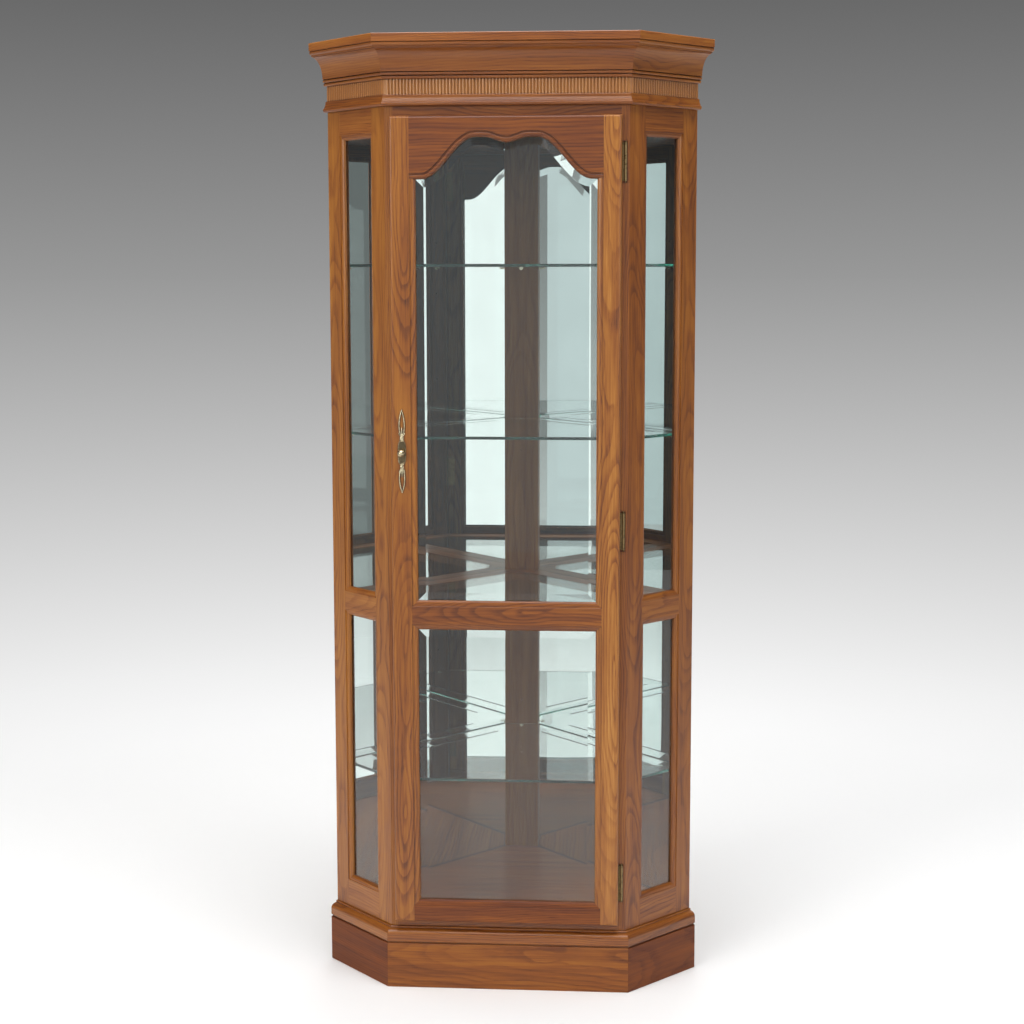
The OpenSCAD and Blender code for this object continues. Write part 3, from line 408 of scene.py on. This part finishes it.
WOODEN = [n for n in nodes if n in mats and mats[n].name.startswith(("oak", "stained")) and n not in ("frieze_front", "frieze_sides")]
for n_ in WOODEN:
    soften(nodes[n_], 0.0007 if "stops" not in n_ and "cleats" not in n_ else 0.0004)
for n_ in ("glass_shelf_upper", "glass_shelf_middle", "glass_shelf_lower", "fixed_shelf_glass"):
    soften(nodes[n_], 0.0006, 50, 1)
for n_ in ("magnetic_catch", "hinge_frame_leaves", "hinge_door_leaves"):
    soften(nodes[n_], 0.0003, 45, 1)


# ---------------------------------------------------------------- pieces built here
def new_piece(name, bm, mat, body, replaces=(), smooth_angle=None):
    bmesh.ops.recalc_face_normals(bm, faces=bm.faces)
    me = bpy.data.meshes.new(name)
    bm.to_mesh(me)
    bm.free()
    o = bpy.data.objects.new(name, me)
    scene.collection.objects.link(o)
    me.materials.append(mat)
    if smooth_angle is not None:
        for p in me.polygons:
            p.use_smooth = True
        me.set_sharp_from_angle(angle=math.radians(smooth_angle))
    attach(o, body)
    if replaces:
        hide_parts(*replaces)
    return o


DX0, DX1, DZ0, DZ1 = -231.0, 226.0, 142.0, 1774.0
DOOR_Y0, DOOR_T, GLASS_E, GLASS_T = -20.0, 19.2, 9.0, 4.0
LATCH_IN, HINGE_IN, STICK = -191.0, 190.5, 12.0
ARCH_LOW, ARCH_HIGH, RABBET = 1650.0, 1732.5, 1745.0


def arch(x):
    a = abs(x)
    if a < 45:
        return ARCH_HIGH - 10.5 + 10.5 * (1 - math.cos(math.pi * a / 45)) / 2
    if a < 60:
        return ARCH_HIGH
    if a < 168:
        return ARCH_LOW + 1 + (ARCH_HIGH - ARCH_LOW - 1) * (1 + math.cos(math.pi * (a - 60) / 108)) / 2
    return ARCH_LOW + max(0.0, (190 - a) / 22)


def arch_normal(x):
    d = (arch(x + 0.5) - arch(x - 0.5))
    k = math.hypot(d, 1.0)
    return -d / k, 1.0 / k


def stick_profile(width):
    """(w, q): w from the flat of the frame into the opening, q the depth below the face."""
    pts = [(0.0, 0.0), (0.3, 2.4), (1.9, 2.4)]
    for i in range(15):
        a = math.radians(-50 + 140 * i / 14)
        pts.append((width - 5.6 + 4.9 * math.sin(a), 6.2 - 5.4 * math.cos(a)))
    pts += [(width, 7.2), (width, GLASS_E - 0.02)]
    return pts


def arched_rail():
    bm = bmesh.new()
    xs = [LATCH_IN + 0.02 + (HINGE_IN - LATCH_IN - 0.04) * i / 260 for i in range(261)]
    cols = []
    for x in xs:
        nx, nz = arch_normal(x)
        if abs(x) > 184:
            nx = 0.0
        col = []
        # back face, top edge, rounded front top edge
        col.append((x, DOOR_T, RABBET))
        col.append((x, DOOR_T, DZ1))
        col.append((x, 6.0, DZ1))
        for i in range(1, 9):
            a = math.radians(90 * i / 8)
            col.append((x, 6.0 - 6.0 * math.sin(a), DZ1 - 6.0 + 6.0 * math.cos(a)))
        # front face down to the moulded edge, in a few steps
        fx, fz = x + nx * STICK, arch(x) + nz * STICK
        fx = min(max(fx, xs[0]), xs[-1])
        for s in (0.25, 0.5, 0.75):
            col.append((x + (fx - x) * s, 0.0, (DZ1 - 6.0) * (1 - s) + fz * s))
        for w, q in stick_profile(STICK):
            px, pz = x + nx * (STICK - w), arch(x) + nz * (STICK - w)
            px = min(max(px, xs[0]), xs[-1])
            col.append((px, q, pz))
        col.append((x, GLASS_E - 0.02, RABBET))
        cols.append([bm.verts.new(V(p[0], DOOR_Y0 + p[1], p[2])) for p in col])
    m = len(cols[0])
    for c0, c1 in zip(cols, cols[1:]):
        for j in range(m):
            k = (j + 1) % m
            bm.faces.new((c0[j], c0[k], c1[k], c1[j]))
    bm.faces.new(cols[0])
    bm.faces.new(list(reversed(cols[-1])))
    return new_piece("door_arched_rail", bm, arch_wood, "door", ("door_rail_top",), 32)


def offset_ring(x0, x1, z0, top, d, n=120):
    """The outline moved inward by d (outward below 0), anticlockwise. The moved top is the envelope of circles along the
    real one, so it never folds over itself where the arch turns tighter than d."""
    a, b = x0 + d, x1 - d
    pts = [(a, z0 + d), (b, z0 + d)]
    r = abs(d)
    for i in range(n + 1):
        x = b - (b - a) * i / n
        best = None
        for k in range(-24, 25):
            h = r * k / 24
            z = top(x + h) + math.copysign(math.sqrt(max(0.0, r * r - h * h)), -d)
            if best is None or (z < best if d > 0 else z > best):
                best = z
        pts.append((x, best))
    return pts


def bevelled_pane(name, x0, x1, z0, top, mat, replaces, lap=3.0, bevel=18.0, rim=2.0):
    """A pane whose bevel follows its outline, from x0 to x1 and from z0 up to top(x), and laps past it under the frame."""
    y_front, y_back = DOOR_Y0 + GLASS_E + 0.05, DOOR_Y0 + GLASS_E + GLASS_T - 0.05
    bm = bmesh.new()
    ring = lambda d, y: [bm.verts.new(V(p[0], y, p[1])) for p in offset_ring(x0, x1, z0, top, d)]
    rows = [ring(bevel - lap + 0.6, y_front), ring(bevel - lap, y_front + 0.04), ring(-lap, y_back - rim), ring(-lap - 0.3, y_back - rim + 0.4),
            ring(-lap - 0.3, y_back - 0.4), ring(-lap, y_back)]
    n = len(rows[0])
    for a, b in zip(rows, rows[1:]):
        for i in range(n):
            k = (i + 1) % n
            bm.faces.new((a[i], a[k], b[k], b[i]))
    # the flats are closed in upright strips between the foot and the top
    for row, flip in ((rows[0], False), (rows[-1], True)):
        foot0, foot1, crest = row[0], row[1], row[2:]
        m = len(crest) - 1
        y, zf = foot0.co.y, foot0.co.z
        foot = [foot1] + [bm.verts.new((crest[i].co.x, y, zf)) for i in range(1, m)] + [foot0]
        for i in range(m):
            quad = (foot[i], crest[i], crest[i + 1], foot[i + 1])
            bm.faces.new(quad if flip else tuple(reversed(quad)))
    # the foot's new points split the edges they lie on
    for row_i, side in ((0, 1), (-1, -2)):
        e0, e1 = rows[row_i][0], rows[row_i][1]
        f = [f for f in e0.link_faces if e1 in f.verts and any(v in rows[side] for v in f.verts)][0]
        others = [v for v in f.verts if v not in (e0, e1)]
        extra = sorted((v for v in bm.verts if abs(v.co.y - e0.co.y) < 1e-7 and abs(v.co.z - e0.co.z) < 1e-7 and v not in (e0, e1)), key=lambda v: v.co.x)
        bm.faces.remove(f)
        bm.edges.remove(bm.edges.get((e0, e1)))
        line = [e0] + extra + [e1]
        far = sorted(others, key=lambda v: v.co.x)
        bm.faces.new(line + [far[1], far[0]])
    bmesh.ops.triangulate(bm, faces=[f for f in bm.faces if len(f.verts) > 4])
    return new_piece(name, bm, mat, "door", replaces)


door_glass_mat = glass("bevelled_plate", (0.955, 0.985, 0.975, 1), None)
SX0, SX1 = LATCH_IN + STICK, HINGE_IN - STICK
arched_rail()
bevelled_pane("door_glass_upper_bevelled", SX0, SX1, 812.0, arch, door_glass_mat, ("door_glass_upper",))
bevelled_pane("door_glass_lower_bevelled", SX0, SX1, 188.5, lambda x: 752.0, door_glass_mat, ("door_glass_lower",))


# ---------------------------------------------------------------- the pull
HX, HZ = -209.0, 1112.0
brass = metal("antique_brass_pull", (0.64, 0.55, 0.36, 1), (0.075, 0.045, 0.02, 1), scale=260.0, rough=0.24, hollow=0.0045, wear=0.55,
              dish=((DOOR_Y0 - SHIFT - 1.75) * MM, HZ * MM, 0.0235))


def tube(bm, pts, radii, sides=14, flat=1.0, closed=False):
    """A swept round bar through pts = (x, out, z) in millimetres about the pull; flat squashes it against the door."""
    n = len(pts)
    rings = []
    for i in range(n):
        p = Vector(pts[i])
        a = Vector(pts[(i + 1) % n]) if closed or i < n - 1 else p
        b = Vector(pts[i - 1]) if closed or i > 0 else p
        t = (a - b).normalized()
        side = t.cross(Vector((0, 1, 0)))
        if side.length < 1e-4:
            side = Vector((1, 0, 0))
        side.normalize()
        up = side.cross(t).normalized()
        r = radii[i] if isinstance(radii, (list, tuple)) else radii
        ring = []
        for j in range(sides):
            w = 2 * math.pi * j / sides
            q = p + side * (r * math.cos(w)) + up * (r * flat * math.sin(w))
            ring.append(bm.verts.new(V(HX + q.x, DOOR_Y0 - q.y, HZ + q.z)))
        rings.append(ring)
    last = n if closed else n - 1
    for i in range(last):
        r0, r1 = rings[i], rings[(i + 1) % n]
        for j in range(sides):
            k = (j + 1) % sides
            bm.faces.new((r0[j], r0[k], r1[k], r1[j]))
    if not closed:
        bm.faces.new(rings[0])
        bm.faces.new(list(reversed(rings[-1])))


def lathe(bm, prof, centre=(0, 0, 0), axis="out", sides=40, sx=1.0):
    """A turned form: prof is (radius, height) from tip to tip, turned about the axis out of the door or upright."""
    rings = []
    for r, h in prof:
        ring = []
        for j in range(sides):
            w = 2 * math.pi * j / sides
            c, s = math.cos(w) * r, math.sin(w) * r
            p = (centre[0] + c * sx, centre[1] + h, centre[2] + s) if axis == "out" else (centre[0] + c, centre[1] + s * sx, centre[2] + h)
            ring.append(bm.verts.new(V(HX + p[0], DOOR_Y0 - p[1], HZ + p[2])))
        rings.append(ring)
    for r0, r1 in zip(rings, rings[1:]):
        for j in range(sides):
            k = (j + 1) % sides
            bm.faces.new((r0[j], r0[k], r1[k], r1[j]))
    bm.faces.new(rings[0])
    bm.faces.new(list(reversed(rings[-1])))


def bead(bm, z, r, out=1.2, flat=0.75, x=0.0):
    prof = [(max(0.05, r * math.cos(math.radians(a))), r * math.sin(math.radians(a))) for a in range(-85, 86, 17)]
    lathe(bm, prof, (x, out, z), "up", 20, flat)


def pull_plate():
    bm = bmesh.new()
    for s, z0, z1, w in ((1, 35.5, 84.0, 7.6), (-1, 35.5, 79.0, 7.6)):
        loop, rad = [], []
        n = 72
        for i in range(n):
            a = 2 * math.pi * (i + 0.5) / n
            f = (1 - math.cos(a)) / 2
            # round at the neck, drawn out to a point at the tip
            x = math.copysign(w * 1.68 * f ** 0.5 * (1 - f) ** 0.85, math.sin(a))
            loop.append((x, 1.1 + 0.5 * math.sin(a) ** 2, s * (z0 + (z1 - z0) * f)))
            rad.append(0.95 + 0.45 * math.sin(a) ** 2)
        tube(bm, loop, rad, 12, 1.0, closed=True)
        # a leaf inside the loop and curled tips where it joins the neck
        tube(bm, [(0, 1.0, s * (z0 + 2)), (0, 1.5, s * (z0 + 6)), (0, 1.5, s * (z0 + 10)), (0, 0.9, s * (z0 + 15))], [1.7, 1.5, 1.0, 0.25], 10, 0.8)
        for k in (-1, 1):
            tube(bm, [(k * 1.0, 1.3, s * (z0 - 2)), (k * 3.6, 1.6, s * (z0 - 0.5)), (k * 5.6, 1.5, s * (z0 + 2.6)), (k * 5.2, 1.2, s * (z0 + 5.2))], [1.5, 1.3, 1.05, 0.6], 10, 0.8)
        # beaded neck between the loop and the plate
        for z, r in ((25.2, 3.4), (28.8, 4.4), (32.4, 3.0), (35.0, 2.2)):
            bead(bm, s * z, r, 1.2, 0.62)
        tube(bm, [(0, 1.0, s * 22), (0, 1.1, s * 38)], [1.9, 1.6], 10, 0.7)
        # finial
        bead(bm, s * (z1 + 0.6), 1.6, 1.2, 0.7)
    # domed plate with a raised rim
    n, rows = 64, []
    for k, (f, out) in enumerate(((1.0, 0.0), (1.0, 1.3), (0.97, 2.1), (0.91, 2.5), (0.85, 2.2), (0.80, 1.3), (0.72, 0.8), (0.45, 0.65), (0.25, 0.75), (0.12, 0.8))):
        ring = []
        for i in range(n):
            a = 2 * math.pi * i / n
            # a long plate with full sides and rounded ends
            x = math.copysign(8.3 * abs(math.sin(a)) ** 0.62, math.sin(a)) * f
            z = math.copysign(25.0 * abs(math.cos(a)) ** 0.80, -math.cos(a)) * (1 - (1 - f) * 8.3 / 25.0)
            ring.append(bm.verts.new(V(HX + x, DOOR_Y0 - out, HZ + z)))
        rows.append(ring)
    for r0, r1 in zip(rows, rows[1:]):
        for j in range(n):
            k = (j + 1) % n
            bm.faces.new((r0[j], r0[k], r1[k], r1[j]))
    bm.faces.new(rows[0])
    bm.faces.new(list(reversed(rows[-1])))
    o = new_piece("pull_backplate", bm, brass, "door", ("handle_plate",), 40)
    return o


def pull_knob():
    bm = bmesh.new()
    prof = [(3.8, -DOOR_T), (3.8, -DOOR_T + 2.2), (2.2, -DOOR_T + 2.5), (2.2, 2.2), (5.4, 2.3), (5.6, 3.0), (4.9, 3.8), (3.7, 5.0), (3.0, 7.0), (3.0, 8.6), (3.6, 9.8), (4.9, 10.9),
            (6.3, 12.3), (7.1, 14.2), (7.2, 16.2), (6.7, 18.3), (5.6, 20.1), (4.4, 21.2), (4.1, 21.0), (3.4, 21.7), (2.2, 22.4), (1.0, 22.6), (0.2, 22.65)]
    lathe(bm, prof, (0, 0, 0), "out", 48)
    return new_piece("pull_knob", bm, brass, "door", ("handle_knob",), 40)


pull_plate()
pull_knob()

# ---------------------------------------------------------------- studio
def stage_material(name, build):
    t = Tree(name)
    return t.surface(build(t))


def floor_shader(t):
    P = t.node("ShaderNodeTexCoord").outputs["Object"]
    sep = t.node("ShaderNodeSeparateXYZ")
    t.put(sep.inputs[0], P)
    r = t.math("SQRT", t.math("ADD", t.math("POWER", sep.outputs[0], 2.0), t.math("POWER", sep.outputs[1], 2.0)))
    # painted light: beyond about 1.3 m the floor glows, brighter near the cabinet and dimmer further out, in place of
    # lamp light falling on it
    s = t.math("DIVIDE", 1.476, t.math("ADD", r, 3.4))
    g = t.math("POWER", t.math("MULTIPLY_ADD", s, 375.7 / 255, 151 / 255, clamp=True), 2.25)
    em = t.node("ShaderNodeEmission")
    t.put(em.inputs[0], t.vec(g, g, g))
    t.put(em.inputs[1], t.math("MULTIPLY_ADD", t.node("ShaderNodeLightPath").outputs["Is Diffuse Ray"], -0.55, 1.0))
    df = t.node("ShaderNodeBsdfDiffuse")
    df.inputs[0].default_value = (0.985, 0.985, 0.985, 1)
    m = t.node("ShaderNodeMixShader")
    t.put(m.inputs[0], t.smooth(r, 1.3, 2.9))
    t.put(m.inputs[1], df.outputs[0])
    t.put(m.inputs[2], em.outputs[0])
    return m.outputs[0]


bm = bmesh.new()
bmesh.ops.create_circle(bm, cap_ends=True, segments=96, radius=220.0)
me = bpy.data.meshes.new("studio_floor")
bm.to_mesh(me)
bm.free()
floor = bpy.data.objects.new("studio_floor", me)
scene.collection.objects.link(floor)
me.materials.append(stage_material("floor_paper_and_painted_glow", floor_shader))

world = bpy.data.worlds.new("studio")
scene.world = world
world.use_nodes = True
wt = Tree.__new__(Tree)
wt.nt = world.node_tree
wt.nt.nodes.clear()
co = wt.node("ShaderNodeTexCoord").outputs["Generated"]
sep = wt.node("ShaderNodeSeparateXYZ")
wt.put(sep.inputs[0], co)
flat = wt.math("SQRT", wt.math("ADD", wt.math("POWER", sep.outputs[0], 2.0), wt.math("POWER", sep.outputs[1], 2.0)))
tan = wt.math("DIVIDE", sep.outputs[2], wt.math("MAXIMUM", flat, 0.05))
val = wt.math("MAXIMUM", wt.math("MULTIPLY_ADD", tan, -295 / 255, 151 / 255), 92 / 255)
g = wt.math("POWER", val, 2.25)
bg = wt.node("ShaderNodeBackground")
wt.put(bg.inputs[0], wt.vec(g, g, g))
wt.put(bg.inputs[1], wt.math("MULTIPLY_ADD", wt.node("ShaderNodeLightPath").outputs["Is Diffuse Ray"], -0.45, 1.0))
wo = wt.node("ShaderNodeOutputWorld")
wt.nt.links.new(bg.outputs[0], wo.inputs[0])


def area(name, loc, target, size, power, colour=(1, 1, 1), size_y=None):
    d = bpy.data.lights.new(name, "AREA")
    d.energy = power
    d.color = colour
    d.shape = "RECTANGLE"
    d.size = size
    d.size_y = size_y or size
    o = bpy.data.objects.new(name, d)
    scene.collection.objects.link(o)
    o.location = loc
    o.rotation_mode = "QUATERNION"
    o.rotation_quaternion = (Vector(target) - Vector(loc)).to_track_quat("-Z", "Y")
    o.visible_camera = False
    return o


area("key_left", (-3.4, -3.6, 2.7), (0, 0, 0.95), 2.2, 112, (1.0, 0.985, 0.96), 2.4)
area("fill_right", (3.6, -3.0, 2.2), (0, 0, 0.95), 2.0, 44, (0.96, 0.98, 1.0), 2.4)
area("top_soft", (0.2, -0.6, 4.6), (0, 0.1, 0.0), 3.4, 215, (1, 1, 1), 3.4)
area("back_soft", (0.0, 4.6, 3.2), (0, 0.2, 0.9), 3.0, 60, (1, 1, 1), 2.0)


def card(name, corners, value, tint=(1, 1, 1)):
    """A softbox front, seen only in the glass and the mirrors."""
    bm = bmesh.new()
    vs = [bm.verts.new(c) for c in corners]
    bm.faces.new(vs)
    me = bpy.data.meshes.new(name)
    bm.to_mesh(me)
    bm.free()
    o = bpy.data.objects.new(name, me)
    scene.collection.objects.link(o)

    def build(t):
        e = t.node("ShaderNodeEmission")
        e.inputs[0].default_value = (*tint, 1)
        e.inputs[1].default_value = value
        return e.outputs[0]

    me.materials.append(stage_material(name + "_light", build))
    o.visible_camera = False
    o.visible_shadow = False
    o.visible_diffuse = False
    return o


card("card_right", ((0.30, -5.6, 0), (3.2, -5.6, 0), (3.2, -5.6, 3.2), (0.30, -5.6, 3.2)), 1.34)
card("card_left", ((-3.6, -5.7, 0), (0.22, -5.7, 0), (0.22, -5.7, 3.2), (-3.6, -5.7, 3.2)), 0.80, (0.93, 1.0, 1.02))
card("card_low_side", ((-4.6, -1.8, 0), (-4.6, 1.6, 0), (-4.6, 1.6, 0.62), (-4.6, -1.8, 0.62)), 0.42, (0.93, 1.0, 0.97))
card("card_dark_right", ((5.2, -2.4, 0), (5.2, 0.1, 0), (5.2, 0.1, 3.4), (5.2, -2.4, 3.4)), 0.17, (0.94, 1.0, 1.0))

# ---------------------------------------------------------------- camera
cam_data = bpy.data.cameras.new("camera")
cam = bpy.data.objects.new("camera", cam_data)
scene.collection.objects.link(cam)
scene.camera = cam
F_PX, V0 = 1722.843, 458.0
PITCH, YAW, ROLL = 6.3115, 3.8275, -0.0736
CX, CY, CZ = 238.273, -3415.891, 1478.922
pitch, yaw, roll = (math.radians(a) for a in (PITCH, YAW, ROLL))
fwd = Vector((-math.sin(yaw) * math.cos(pitch), math.cos(yaw) * math.cos(pitch), -math.sin(pitch)))
right = Vector((math.cos(yaw), math.sin(yaw), 0.0))
up = right.cross(fwd)
r2 = right * math.cos(roll) + up * math.sin(roll)
u2 = -right * math.sin(roll) + up * math.cos(roll)
cam.matrix_world = Matrix(((r2.x, u2.x, -fwd.x, CX * MM), (r2.y, u2.y, -fwd.y, (CY - SHIFT) * MM), (r2.z, u2.z, -fwd.z, CZ * MM), (0, 0, 0, 1)))
cam_data.sensor_width = 36.0
cam_data.lens = 36.0 * F_PX / 1024
cam_data.shift_x = 0.0
cam_data.shift_y = (V0 - 512.0) / 1024
cam_data.clip_start, cam_data.clip_end = 0.05, 500.0
